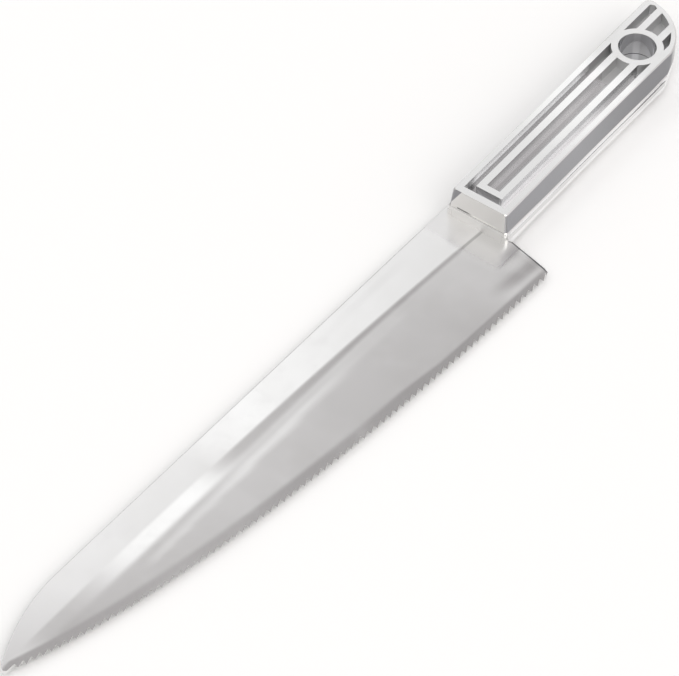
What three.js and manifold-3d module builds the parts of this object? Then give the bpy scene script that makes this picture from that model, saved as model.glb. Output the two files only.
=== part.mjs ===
// Plastic dessert knife: a serrated blade clamped in a hollow two-piece handle.
// Millimetres. X runs from the blade tip to the butt, Y from the teeth to the spine, Z up.
// While it is built, x = 0 is the handle's front, y = 0 its middle line and z = 0 the blade's upper face.
import * as THREE from "three";
import { mergeVertices } from "three/addons/utils/BufferGeometryUtils.js";
import Module from "manifold-3d";

const wasm = await Module();
wasm.setup();

// Blade
const bladeLength = 194.4; // handle front to tip
const bladeThickness = 1.5;
const spineHeight = 10.75; // spine above the handle's middle line, beside the handle
const spineRise = 2.95; // what the straight spine climbs before it turns down to the tip
const tipCurveLength = 33; // length of the turned-down stretch
const tipCurveFullness = 16.5; // how far that curve keeps the spine's direction
const tipHeight = 5.2; // tip above the middle line
const tipBlunt = 0.45; // height of the blunt end
const tipPlain = 3.2; // plain stretch between the last tooth and the tip
const heelDrop = 22.63; // tooth roots below the middle line, at the heel
const heelSetback = 1.4; // first tooth root in front of the handle's front
const heelCorner = 0.9; // radius of the heel's corner
const bellyReach = 130.9; // where the two end tangents of the cutting edge cross
const bellyDrop = 18.55;
const toothPitchAtHeel = 2.57; // the teeth get a little finer towards the tip
const toothPitchAtTip = 2.42;
const toothDepth = 1.2;
const toothUndercut = 0.2; // the steep flank leans back by this much
const creaseAtHandle = 1.3; // crease below the middle line, beside the handle
const creaseCrown = 6.0; // height of the crossing of its end tangents, above the middle line
const creaseBlendAtHandle = 1; // width over which the crease rounds into the grind
const creaseBlendAtTip = 9;
const creaseBlendLimit = 0.8; // largest part of the grind that the rounding may take up
const grindDepth = 0.7; // what the upper grind takes off down to the edge bevel
const edgeBevelWidth = 2.6;
const edgeTopDepth = 1.0; // upper edge of the tooth points below the blade's upper face
const edgeBackDepth = 0.15; // back bevel of the tooth points
const rootLap = 2.3; // how far the blade root runs in under the handle
const tangLength = 56;
const tangHalfWidth = 6.4;
const tangTaper = 1.2; // half width lost at its far end
const tangEndRadius = 3;

// Handle
const handleFront = 0.25; // front wall of the body, at the shoulder
const handleLength = 91.65; // front wall to butt, at the shoulder
const bodyHalfWidth = 8.85; // at the shoulder
const handleHeight = 9.27; // top face above the blade
const shoulderHeight = 3.3; // foot of the drafted walls
const wallDraft = 0.65; // what the walls lean in from shoulder to top
const topChamfer = 0.3;
const waistDepth = 0.3; // drawn-in middle of each long side
const frontLean = 0.5; // the front wall leans by this share of what the sides do
const frontStep = 0.16; // flange and cover stand this far in front of the front wall
const frontRim = 1.25; // side rims of the cover beside the foot of the front wall
const buttRadius = 16.7; // round of the butt, cut square through the whole handle
const buttRunOut = 0.262; // angle at which the round runs out into the toothed side
const buttCorner = 1.8; // small radius at the spine end of the butt
const frontCorner = 0.8;
const flangeOut = 0.25; // lip under the shoulder
const flangeChamfer = 0.25;
const partingHeight = 1.9; // rim of the back cover above the blade
const partingGap = 0.2;
const coverOut = 0.65; // widest part of the back cover beyond the body
const coverRimInset = 0.4; // rounding at its rim
const coverRimHeight = 0.75;
const coverBilge = 1.0; // lean of the cover's lower wall
const coverBilgeHeight = 0.95; // height of the flatter bevel round the underside
const coverSoleInset = 1.9; // underside edge inside the widest part
const coverSoleButt = 0.9; // underside edge inside the butt
const coverFloor = 1.2;
const wall = 1.3;
const fitGap = 0.25; // play between the clamped pieces

// Relief in the top face
const reliefDepth = 3.4;
const reliefFloor = 1.3; // plastic left under the channels
const buttBorder = 1.45;
const frontBorder = 2.2;
const outerChannel = 2.3;
const ribWidth = 2.0;
const centreChannel = 4.0;
const crossChannel = 2.1;

// Hanging hole and locating pegs
const holeRadius = 5.1;
const holeFromButt = 17.65;
const ringWidth = 1.9;
const pegRadius = 1.3;
const pegBossWall = 1.2;
const firstPeg = 14; // from the handle's front
const pegSpacing = 30;
const pegReach = 3.2; // top of the pegs above the blade

// Facets
const cornerSteps = 4;
const buttSteps = 14;
const sideSteps = 8;
const roundSteps = 40;
const pegSteps = 16;
const tipSteps = 12;
const tangSteps = 6;
const bladeStations = 26;
const blendSteps = 4;

const over = 1; // cutters run this far past the faces they cut

const coverBottom = -(bladeThickness + fitGap + coverFloor);
const coverInside = -(bladeThickness + fitGap);
const shellBottom = partingHeight + partingGap;
const buttEnd = handleFront + handleLength;
const buttCentre = new THREE.Vector2(buttEnd - buttRadius, bodyHalfWidth - wallDraft);
const holeX = buttEnd - holeFromButt;
const ringRadius = holeRadius + ringWidth;
const frontFootHalf = bodyHalfWidth - frontRim;
const frontFootBack = handleFront + wall - flangeOut;
const pegXs = [firstPeg, firstPeg + pegSpacing];
const restX = (handleFront + holeX - ringRadius) / 2;

// Turns a closed geometry into a solid that can be cut and joined.
function toSolid(geometry) {
  const bare = geometry.clone();
  bare.deleteAttribute("normal");
  bare.deleteAttribute("uv");
  const merged = mergeVertices(bare, 1e-5);
  return new wasm.Manifold(new wasm.Mesh({
    numProp: 3,
    vertProperties: new Float32Array(merged.attributes.position.array),
    triVerts: new Uint32Array(merged.index.array),
  }));
}

function toGeometry(solid) {
  const mesh = solid.getMesh();
  const geometry = new THREE.BufferGeometry();
  geometry.setAttribute("position", new THREE.BufferAttribute(mesh.vertProperties, 3));
  geometry.setIndex(new THREE.BufferAttribute(mesh.triVerts, 1));
  geometry.computeVertexNormals();
  return geometry;
}

// Skins a closed body through rings of equally many points, with flat ends.
function loft(rings, flatten) {
  const count = rings[0].length;
  const positions = rings.flat().flatMap((p) => [p.x, p.y, p.z]);
  const index = [];
  for (let r = 0; r + 1 < rings.length; r++) {
    for (let i = 0; i < count; i++) {
      const a = r * count + i;
      const b = r * count + (i + 1) % count;
      index.push(a, b, b + count, a, b + count, a + count);
    }
  }
  const last = (rings.length - 1) * count;
  for (const [a, b, c] of THREE.ShapeUtils.triangulateShape(rings[0].map(flatten), [])) {
    index.push(a, c, b);
  }
  for (const [a, b, c] of THREE.ShapeUtils.triangulateShape(rings.at(-1).map(flatten), [])) {
    index.push(last + a, last + b, last + c);
  }
  const geometry = new THREE.BufferGeometry();
  geometry.setAttribute("position", new THREE.Float32BufferAttribute(positions, 3));
  geometry.setIndex(index);
  return toSolid(geometry);
}

// A flat outline pulled up from one height to another.
function prism(shape, low, high, curveSegments = roundSteps) {
  const geometry = new THREE.ExtrudeGeometry(shape, {
    depth: high - low,
    bevelEnabled: false,
    curveSegments,
  });
  geometry.translate(0, 0, low);
  return toSolid(geometry);
}

function block(x0, x1, y0, y1, z0, z1) {
  const geometry = new THREE.BoxGeometry(x1 - x0, y1 - y0, z1 - z0);
  geometry.translate((x0 + x1) / 2, (y0 + y1) / 2, (z0 + z1) / 2);
  return toSolid(geometry);
}

function rod(x, y, radius, low, high, steps) {
  const geometry = new THREE.CylinderGeometry(radius, radius, high - low, steps);
  geometry.rotateX(Math.PI / 2);
  geometry.translate(x, y, (low + high) / 2);
  return toSolid(geometry);
}

function named(name, solid, colour, roughness) {
  const material = new THREE.MeshStandardMaterial({ color: colour, roughness, metalness: 1 });
  material.flatShading = true;
  const mesh = new THREE.Mesh(toGeometry(solid), material);
  mesh.name = name;
  return mesh;
}

// Handle outline seen from above, anticlockwise, with its sides, front and butt moved out.
function handleOutline(sideOut, frontOut, buttOut) {
  const half = bodyHalfWidth + sideOut;
  const radius = buttRadius + buttOut;
  const sideStart = handleFront - frontOut + frontCorner;
  const runOutX = buttCentre.x + radius * Math.sin(buttRunOut);
  const runOutY = buttCentre.y - radius * Math.cos(buttRunOut);
  const sideEnd = runOutX - (half + runOutY) / Math.tan(buttRunOut);
  const cornerX = buttCentre.x + radius - buttCorner;
  const points = [];
  const arc = (cx, cy, r, from, to, steps) => {
    for (let i = 0; i <= steps; i++) {
      const angle = from + (to - from) * i / steps;
      points.push(new THREE.Vector2(cx + r * Math.cos(angle), cy + r * Math.sin(angle)));
    }
  };
  const side = (i) => {
    const along = i / sideSteps;
    const waist = waistDepth * 4 * along * (1 - along);
    return new THREE.Vector2(sideStart + (sideEnd - sideStart) * along, half - waist);
  };
  arc(sideStart, -half + frontCorner, frontCorner, Math.PI, Math.PI * 1.5, cornerSteps);
  for (let i = 1; i <= sideSteps; i++) {
    const point = side(i);
    points.push(new THREE.Vector2(point.x, -point.y));
  }
  arc(buttCentre.x, buttCentre.y, radius, buttRunOut - Math.PI / 2, -buttRunOut, buttSteps);
  arc(cornerX, half - buttCorner, buttCorner, 0, Math.PI / 2, cornerSteps);
  for (let i = sideSteps; i > 0; i--) {
    points.push(side(i));
  }
  arc(sideStart, half - frontCorner, frontCorner, Math.PI / 2, Math.PI, cornerSteps);
  return points;
}

// Skins the handle through levels of height and the distances its sides and butt stand out.
function handleLoft(levels) {
  const rings = levels.map(({ z, side, front = side * frontLean, butt = 0 }) =>
    handleOutline(side, front, butt).map((p) => new THREE.Vector3(p.x, p.y, z)));
  return loft(rings, (p) => new THREE.Vector2(p.x, p.y));
}

// Cutting edge: the curve through the tooth roots, from heel to tip.
const edgeCurve = new THREE.QuadraticBezierCurve(
  new THREE.Vector2(-heelSetback, -heelDrop),
  new THREE.Vector2(-bellyReach, -bellyDrop),
  new THREE.Vector2(tipPlain - bladeLength, tipHeight - tipBlunt),
);
const creaseCurve = new THREE.QuadraticBezierCurve(
  new THREE.Vector2(0, -creaseAtHandle),
  new THREE.Vector2(-bladeLength / 2, creaseCrown),
  new THREE.Vector2(-bladeLength, tipHeight),
);

// Blade outline seen from above, with its teeth.
function bladeOutline() {
  const straightEnd = -(bladeLength - tipCurveLength);
  const slope = spineRise / straightEnd;
  const shape = new THREE.Shape();
  shape.moveTo(rootLap, spineHeight + slope * rootLap);
  shape.lineTo(straightEnd, spineHeight + spineRise);
  const knee = straightEnd - tipCurveFullness;
  shape.quadraticCurveTo(knee, spineHeight + slope * knee, -bladeLength, tipHeight);
  shape.lineTo(-bladeLength, tipHeight - tipBlunt);
  const edgeLength = edgeCurve.getLength();
  const toothCount = Math.floor(edgeLength * 2 / (toothPitchAtHeel + toothPitchAtTip));
  const finer = (toothPitchAtTip - toothPitchAtHeel) / (2 * toothCount);
  const root = (i) => edgeCurve.getPointAt(i * (toothPitchAtHeel + finer * i) / edgeLength);
  for (let i = toothCount; i > 0; i--) {
    const behind = root(i);
    const along = root(i - 1).sub(behind).normalize();
    const outward = new THREE.Vector2(along.y, -along.x);
    shape.lineTo(behind.x, behind.y);
    const point = behind.clone().addScaledVector(along, toothUndercut).addScaledVector(outward, toothDepth);
    shape.lineTo(point.x, point.y);
  }
  const heelTop = new THREE.Vector2(rootLap, -(bodyHalfWidth + coverOut + fitGap));
  const heelFoot = new THREE.Vector2(-heelSetback + heelCorner, -(heelDrop + heelCorner / 2));
  const up = heelTop.clone().sub(heelFoot).normalize();
  shape.lineTo(-heelSetback, -heelDrop);
  shape.lineTo(heelFoot.x - heelCorner, heelFoot.y);
  const heelRise = heelFoot.clone().addScaledVector(up, heelCorner);
  shape.quadraticCurveTo(heelFoot.x, heelFoot.y, heelRise.x, heelRise.y);
  shape.lineTo(heelTop.x, heelTop.y);
  shape.closePath();
  return shape;
}

// Cross section of the ground blade at a distance along the cutting edge.
function bladeSection(x, edgeY, creaseY, along) {
  const spineSide = spineHeight + spineRise + 2 * tipBlunt;
  const toothLine = edgeY - toothDepth;
  const room = Math.max(creaseY - toothLine, toothDepth);
  const bevel = Math.min(edgeBevelWidth + toothDepth, room / 2);
  const bevelY = toothLine + bevel;
  const crease = toothLine + room;
  const widest = creaseBlendAtHandle + (creaseBlendAtTip - creaseBlendAtHandle) * along;
  const blend = Math.min(widest, (crease - bevelY) * creaseBlendLimit);
  const bevelSlope = (edgeTopDepth - grindDepth) / (edgeBevelWidth + toothDepth);
  const bevelTop = edgeTopDepth - bevelSlope * bevel;
  const grindSlope = bevelTop / (crease - bevelY - blend / 2);
  const points = [[spineSide, -bladeThickness], [spineSide, 0], [crease, 0]];
  for (let i = 1; i <= blendSteps; i++) {
    const d = blend * i / blendSteps;
    points.push([crease - d, -grindSlope * d * d / (2 * blend)]);
  }
  points.push([bevelY, -bevelTop]);
  points.push([toothLine - toothDepth, -edgeTopDepth - bevelSlope * toothDepth]);
  points.push([toothLine - toothDepth, -bladeThickness + edgeBackDepth]);
  points.push([bevelY, -bladeThickness]);
  return points.map(([y, z]) => new THREE.Vector3(x, y, z));
}

function makeBlade() {
  const rings = [bladeSection(-bladeLength - over, tipHeight - tipBlunt, tipHeight, 1)];
  for (let i = bladeStations; i >= 0; i--) {
    const edge = edgeCurve.getPointAt(i / bladeStations);
    const along = -edge.x / bladeLength;
    rings.push(bladeSection(edge.x, edge.y, creaseCurve.getPoint(along).y, along));
  }
  rings.push(bladeSection(rootLap + over, -heelDrop, -creaseAtHandle, 0));
  const ground = loft(rings, (p) => new THREE.Vector2(p.y, p.z));
  const outline = prism(bladeOutline(), -bladeThickness - over, over, tipSteps);
  const tangEnd = handleFront + tangLength;
  const endHalf = tangHalfWidth - tangTaper;
  const tang = new THREE.Shape();
  tang.moveTo(rootLap - over, -tangHalfWidth);
  tang.lineTo(tangEnd - tangEndRadius, -endHalf);
  tang.quadraticCurveTo(tangEnd, -endHalf, tangEnd, -endHalf + tangEndRadius);
  tang.lineTo(tangEnd, endHalf - tangEndRadius);
  tang.quadraticCurveTo(tangEnd, endHalf, tangEnd - tangEndRadius, endHalf);
  tang.lineTo(rootLap - over, tangHalfWidth);
  tang.closePath();
  let blade = ground.intersect(outline).add(prism(tang, -bladeThickness, 0, tangSteps));
  for (const x of pegXs) {
    blade = blade.subtract(rod(x, 0, pegRadius + fitGap, -bladeThickness - over, over, pegSteps));
  }
  return blade;
}

// Channels of the top face: two outer ones joined across the front, a middle one, all stopped by the ring.
function makeRelief() {
  const low = handleHeight - reliefDepth;
  const high = handleHeight + over;
  const firstEdge = handleFront + wallDraft * frontLean + frontBorder;
  const middleHalf = centreChannel / 2;
  const laneHalf = middleHalf + ribWidth;
  const outerHalf = laneHalf + outerChannel;
  const farX = buttEnd;
  const border = { side: -wallDraft - buttBorder, butt: -buttBorder };
  const field = handleLoft([{ z: low, ...border }, { z: high, ...border }]);
  const lanes = block(firstEdge, farX, laneHalf, outerHalf, low, high)
    .add(block(firstEdge, farX, -outerHalf, -laneHalf, low, high))
    .add(block(firstEdge, firstEdge + crossChannel, -outerHalf, outerHalf, low, high))
    .add(block(firstEdge + crossChannel + ribWidth, farX, -middleHalf, middleHalf, low, high));
  return lanes.intersect(field).subtract(rod(holeX, 0, ringRadius, low - over, high + over, roundSteps));
}

function makeShell() {
  const flangeTop = shoulderHeight - flangeChamfer;
  const ceiling = handleHeight - reliefDepth - reliefFloor;
  const outside = handleLoft([
    { z: shellBottom, side: flangeOut, front: frontStep },
    { z: flangeTop, side: flangeOut, front: frontStep },
    { z: shoulderHeight, side: 0 },
    { z: handleHeight - topChamfer, side: -wallDraft + topChamfer / 2 },
    { z: handleHeight, side: -wallDraft - topChamfer / 2, butt: -topChamfer },
  ]);
  const lining = { side: flangeOut - wall, front: flangeOut - wall, butt: -wall };
  let inside = handleLoft([{ z: shellBottom - over, ...lining }, { z: ceiling, ...lining }]);
  inside = inside.subtract(rod(holeX, 0, ringRadius, shellBottom - 2 * over, ceiling + over, roundSteps));
  const foot = handleLoft([
    { z: fitGap, side: flangeOut, front: frontStep },
    { z: flangeTop, side: flangeOut, front: frontStep },
  ]).intersect(block(handleFront - over, frontFootBack, -frontFootHalf, frontFootHalf, 0, shoulderHeight));
  let shell = outside.subtract(inside).subtract(makeRelief()).add(foot);
  for (const x of pegXs) {
    const boss = rod(x, 0, pegRadius + fitGap + pegBossWall, fitGap, ceiling + reliefFloor / 2, pegSteps);
    const bore = rod(x, 0, pegRadius + fitGap, fitGap - over, pegReach + fitGap, pegSteps);
    shell = shell.add(boss).subtract(bore);
  }
  return shell.subtract(rod(holeX, 0, holeRadius, shellBottom - over, handleHeight + over, roundSteps));
}

function makeCover() {
  const lipFoot = fitGap;
  const rebate = rootLap + fitGap;
  const outside = handleLoft([
    { z: coverBottom, side: coverOut - coverSoleInset, butt: -coverSoleButt },
    { z: coverBottom + coverBilgeHeight, side: coverOut - coverBilge, butt: -topChamfer },
    { z: 0, side: coverOut, front: frontStep },
    { z: partingHeight - coverRimHeight, side: coverOut, front: frontStep },
    { z: partingHeight, side: coverOut - coverRimInset, front: frontStep, butt: -topChamfer / 2 },
  ]);
  const innerOut = coverOut - coverRimInset - wall;
  const lining = { side: innerOut, front: innerOut, butt: -wall };
  const pocketFront = rebate + wall;
  let inside = handleLoft([{ z: coverInside, ...lining }, { z: partingHeight + over, ...lining }]);
  const under = coverInside - over;
  const above = partingHeight + 2 * over;
  inside = inside
    .intersect(block(pocketFront, buttEnd, -bodyHalfWidth, bodyHalfWidth, under, above))
    .subtract(rod(holeX, 0, ringRadius, under, above, roundSteps));
  for (const x of pegXs) {
    inside = inside.subtract(rod(x, 0, pegRadius, under, above, pegSteps));
  }
  const farY = spineHeight + spineRise;
  let cover = outside.subtract(inside);
  const slotHalf = tangHalfWidth + fitGap;
  const notchHalf = frontFootHalf + partingGap;
  const notchBack = frontFootBack + fitGap;
  cover = cover
    .subtract(block(handleFront - farY, notchBack, -notchHalf, notchHalf, 0, above))
    .subtract(block(handleFront - farY, rebate, -farY, farY, coverBottom - over, lipFoot))
    .subtract(block(rebate - over, pocketFront + over, -slotHalf, slotHalf, coverInside, lipFoot));
  for (const x of pegXs) {
    cover = cover.add(rod(x, 0, pegRadius, coverInside - coverFloor / 2, pegReach, pegSteps));
  }
  return cover.subtract(rod(holeX, 0, holeRadius, coverBottom - over, partingHeight + over, roundSteps));
}

const knife = new THREE.Group();
knife.add(named("blade", makeBlade(), 0xc9c8c9, 0.12));
knife.add(named("handle_front_shell", makeShell(), 0xcfcfd0, 0.1));
knife.add(named("handle_back_cover", makeCover(), 0xcfcfd0, 0.12));

// The origin is the middle of the flat underside that the knife lies on.
knife.position.set(-restX, 0, -coverBottom);

export default knife;
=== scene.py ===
"""Dresses the serrated serving knife: a ground blade and a two-piece ribbed handle, all silver-coated."""
import math

import bpy
from mathutils import Matrix, Vector


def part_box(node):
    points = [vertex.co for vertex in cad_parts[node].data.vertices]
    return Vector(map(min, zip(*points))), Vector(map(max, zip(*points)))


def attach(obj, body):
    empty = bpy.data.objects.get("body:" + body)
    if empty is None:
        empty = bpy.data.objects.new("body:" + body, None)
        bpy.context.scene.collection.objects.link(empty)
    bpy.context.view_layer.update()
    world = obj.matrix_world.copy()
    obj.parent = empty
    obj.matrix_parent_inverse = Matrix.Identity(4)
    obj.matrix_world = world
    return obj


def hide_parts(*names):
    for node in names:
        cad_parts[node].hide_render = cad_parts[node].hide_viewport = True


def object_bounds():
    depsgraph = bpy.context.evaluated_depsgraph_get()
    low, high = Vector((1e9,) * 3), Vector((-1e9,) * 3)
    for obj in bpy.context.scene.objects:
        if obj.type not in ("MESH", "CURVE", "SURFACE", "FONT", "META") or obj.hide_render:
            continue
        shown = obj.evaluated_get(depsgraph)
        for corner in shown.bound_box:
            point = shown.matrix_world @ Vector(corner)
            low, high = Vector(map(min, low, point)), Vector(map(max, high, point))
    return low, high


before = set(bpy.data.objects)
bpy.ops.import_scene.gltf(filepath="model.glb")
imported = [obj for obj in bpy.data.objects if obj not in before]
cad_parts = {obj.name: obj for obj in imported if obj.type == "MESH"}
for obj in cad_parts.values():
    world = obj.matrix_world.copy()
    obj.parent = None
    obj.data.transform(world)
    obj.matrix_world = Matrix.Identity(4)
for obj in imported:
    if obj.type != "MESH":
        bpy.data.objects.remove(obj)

bl_info = {
    "name": "Serving knife",
    "version": (1, 0, 0),
    "blender": (4, 5, 0),
    "location": "View3D > Sidebar > Knife",
    "description": "Models a silver-coated serrated serving knife on its packed solids, in a studio",
    "category": "Object",
}

CAD_BOX = [list(corner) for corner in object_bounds()]
BLADE_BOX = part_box("blade")
SHELL_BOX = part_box("handle_front_shell")
# The handle's front and top, and the blade's back and flat.
FRONT, TOP = SHELL_BOX[0][0], SHELL_BOX[1][2]
BACK, FLAT = BLADE_BOX[0][2], BLADE_BOX[1][2]
AXES = ((1, 0, 0), (0, 1, 0), (0, 0, 1))
# Places closer than this count as one.
NEAR = 1e-5
# Lean of the heel's back edge per height, and climb of the crease per length beside the handle.
HEEL_LEAN = 0.21
CREASE_CLIMB = 0.075
# Rounding of the blunt tip in shares of its height: the brow's length and drop, the chin's length and rise.
BROW_LENGTH, BROW_DROP = 0.4, 0.35
CHIN_LENGTH, CHIN_RISE = 0.3, 0.35


def length(name, description, default):
    return bpy.props.FloatProperty(
        name=name, description=description, default=default, precision=5, subtype="DISTANCE", unit="LENGTH"
    )


def tint(name, description, default):
    return bpy.props.FloatVectorProperty(
        name=name, description=description, default=default, size=3, min=0, max=1, subtype="COLOR"
    )


def share(name, description, default):
    return bpy.props.FloatProperty(
        name=name, description=description, default=default, min=0, max=1, precision=3, subtype="FACTOR"
    )


def angle(name, description, degrees):
    return bpy.props.FloatProperty(
        name=name, description=description, default=math.radians(degrees), subtype="ANGLE", unit="ROTATION"
    )


class KnifeBladeSizes(bpy.types.PropertyGroup):
    """Sizes of the blade, measured from the handle's front and its middle line."""
    reach: length("Length", "Handle front to tip", 0.1944)
    thickness: length("Thickness", "Thickness at the spine", 0.0015)
    spine_height: length("Spine height", "Spine above the handle's middle line, beside the handle", 0.01075)
    spine_rise: length("Spine rise", "What the straight spine climbs before the tip curve", 0.00295)
    spine_round: length("Spine rounding", "Rounding along the spine's upper edge", 0.00022)
    tip_curve: length("Tip curve", "Length of the turned-down stretch of the spine", 0.033)
    tip_fullness: length("Tip fullness", "How far the tip curve keeps the spine's direction", 0.0165)
    tip_height: length("Tip height", "Tip above the middle line", 0.0059)
    tip_blunt: length("Tip bluntness", "Height of the blunt end", 0.00165)
    tip_plain: length("Plain tip", "Plain stretch between the last tooth and the tip", 0.0032)
    heel_drop: length("Heel drop", "Tooth roots below the middle line, at the heel", 0.02263)
    heel_setback: length("Heel setback", "First tooth root in front of the handle's front", 0.0014)
    heel_corner: length("Heel corner", "Radius of the heel's corner", 0.0009)
    heel_top: length("Heel top", "Where the heel meets the handle, below the middle line", 0.00975)
    belly_reach: length("Belly reach", "Where the end tangents of the cutting edge cross", 0.1309)
    belly_drop: length("Belly drop", "Drop of that crossing below the middle line", 0.01855)
    pitch_heel: length("Tooth pitch at heel", "Tooth to tooth at the heel", 0.00257)
    pitch_tip: length("Tooth pitch at tip", "Tooth to tooth at the tip", 0.00242)
    tooth_depth: length("Tooth depth", "Tooth root to tooth point", 0.0012)
    tooth_growth: length("Tooth growth", "What the teeth gain in depth behind the first few", 0.00013)
    tooth_undercut: length("Tooth undercut", "How far the steep flank leans back", 0.0002)
    crease_drop: length("Crease drop", "Crease below the middle line, beside the handle", 0.0013)
    crease_crown: length("Crease crown", "Height of the crossing of the crease's end tangents", 0.006)
    gullet_round: length("Gullet rounding", "How far the gullets are filled by their rounding", 0.00006)
    edge_thickness: length("Edge thickness", "Thickness left at the teeth by the bevel on the back", 0.0002)
    heel_round: length("Heel rounding", "Width of the rounding along the heel's back edge", 0.0008)
    heel_fall: length("Heel fall", "What that rounding drops", 0.0002)
    root_lap: length("Root lap", "How far the root runs in under the handle", 0.0023)
    tang_end: length("Tang end", "Tang's end behind the handle's front", 0.05625)
    tang_half: length("Tang half width", "Half width of the tang at the root", 0.0064)
    tang_taper: length("Tang taper", "Half width lost at the tang's end", 0.0012)
    peg_first: length("First peg", "First peg hole behind the handle's front", 0.014)
    peg_step: length("Peg spacing", "Peg hole to peg hole", 0.03)
    peg_hole: length("Peg hole", "Radius of the peg holes", 0.00155)
    smooth_angle: angle("Smooth angle", "Edges flatter than this are shaded round", 28)


class KnifeHandleSizes(bpy.types.PropertyGroup):
    """Softening of the moulded handle, and the places that are finished differently."""
    edge_round: length("Edge rounding", "Width of the rounding on ribs, rims and outer edges", 0.00014)
    channel_round: length("Channel rounding", "Width of the rounding along the channels' floors", 0.00035)
    relief_depth: length("Relief depth", "Channel floors below the top face", 0.0034)
    relief_half: length("Relief half width", "Outer walls of the channels from the middle line", 0.0063)
    front_border: length("Front border", "Top face in front of the channels", 0.0022)
    butt_radius: length("Butt radius", "Round of the butt", 0.0167)
    butt_side: length("Butt side", "Middle of the butt's round from the middle line", 0.0082)
    butt_border: length("Butt border", "Top face round the windows at the butt", 0.00145)
    hole_radius: length("Hole radius", "Radius of the hanging hole", 0.0051)
    hole_from_butt: length("Hole from butt", "Hanging hole's middle in front of the butt's end", 0.01765)
    front_depth: length("Front depth", "How deep the front face reaches back at its rounded corners", 0.0009)
    foot_half: length("Foot half width", "Half width of the front's foot between the cover's rims", 0.0076)
    foot_gap: length("Foot gap", "Play between the front's foot and the flat of the blade", 0.00025)
    rim_gap: length("Rim gap", "Play round the cover's rims, which closes at the front", 0.0002)
    rim_height: length("Rim height", "Cover's rims above the flat of the blade", 0.0019)
    flange_height: length("Flange height", "Shoulder of the shell above the flat of the blade", 0.0033)
    foot_depth: length("Foot depth", "Thickness of the front's foot and of the rims beside it", 0.0026)
    # Height of the line of painted shade and highlight on the front.
    line_height: length("Line height", "Line on the front above the flat of the blade", 0.0036)
    foot_reach: length("Foot reach", "How far the foot is drawn down to meet the ground blade", 0.0009)
    skirt_out: length("Skirt", "How far shoulder and rims stand out beside the grip", 0.0005)
    grip_start: length("Grip start", "Where the skirt has its full width, behind the front", 0.003)
    grip_end: length("Grip end", "Where the skirt starts to fade, behind the front", 0.068)
    grip_fade: length("Grip fade", "Length over which the skirt fades", 0.012)
    outer_wall: length("Outer wall", "What lies further from the middle line belongs to the skirt", 0.0081)
    flat_angle: angle("Flat angle", "Faces that meet flatter than this are joined", 0.4)
    sharp_angle: angle("Sharp angle", "Edges sharper than this are rounded", 24)
    round_steps: bpy.props.IntProperty(
        name="Rounding steps", description="Facets across each rounding", default=3, min=1, max=8
    )
    smooth_angle: angle("Smooth angle", "Edges flatter than this are shaded round", 32)


class KnifeFinish(bpy.types.PropertyGroup):
    """Silver coat of the mouldings, with the tones of painted shade, highlights and reflections laid on it.
    """
    silver: tint("Silver", "Colour of the metal coat", (0.805, 0.803, 0.8))
    silver_cloud: tint("Clouded silver", "Colour of the coat's clouded places", (0.782, 0.779, 0.774))
    front_silver: tint("Front silver", "Colour of the satin coat on the front", (0.80, 0.792, 0.785))
    front_cloud: tint("Clouded front", "Colour of the front's clouded places", (0.785, 0.772, 0.765))
    channel_silver: tint("Channel silver", "Colour of the satin coat in the channels", (0.985, 0.985, 0.99))
    channel_cloud: tint("Clouded channel", "Colour of the channels' clouded places", (0.9, 0.9, 0.905))
    # Painted shade and highlight: tone of the hanging hole's wall, darkened with depth and lit by a painted
    # streak.
    painted_bore_tone: tint("Bore coat", "Colour of the coat on the hanging hole's wall", (0.97, 0.97, 0.985))
    # Painted reflection and shade: dark tone of the line along the heel's back edge, and of the dark half of
    # the line on the front.
    painted_dark_line: tint("Heel coat", "Colour of the thin coat on the heel's rounded edge", (0.22, 0.22, 0.225))
    # Painted light: lighter tone of the flat beside the handle.
    painted_root_light: tint("Root silver", "Colour of the coat on the flat beside the handle", (0.9, 0.898, 0.894))
    # Painted shade: dark tone of the handle's upright outer walls, and of the painted dark reflection at the
    # front's upper corner.
    painted_shade_tone: tint("Thin coat", "Colour of the thin coat on the steep outer walls", (0.308, 0.308, 0.325))
    # Painted highlight: bright tone of the rims below the shoulder.
    painted_rim_highlight: tint("Rim coat", "Colour of the fuller coat on the rims", (0.95, 0.95, 0.955))
    # Painted highlight: bright half of the line on the front.
    painted_highlight_line: tint("Bright line", "Colour of the bright line on the front", (0.98, 0.97, 0.95))
    blade_gloss: share("Blade roughness", "Roughness of the polished blade", 0.12)
    handle_gloss: share("Handle roughness", "Roughness of the moulded handle", 0.09)
    front_gloss: share("Front roughness", "Roughness of the handle's front", 0.42)
    satin_gloss: share("Satin roughness", "Roughness of the satin channels", 0.22)
    root_haze: share("Root haze", "Roughness added to the blade beside the handle", 0.24)
    window_haze: share("Window haze", "Roughness added in the windows and across the front", 0.3)
    rub: share("Rubbed roughness", "Roughness added where fingers and sponges have dulled the coat", 0.07)
    blade_ripple: length("Blade ripple", "Height of the slow ripple in the blade", 0.000004)
    handle_ripple: length("Handle ripple", "Height of the slow ripple in the handle", 0.000008)


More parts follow.
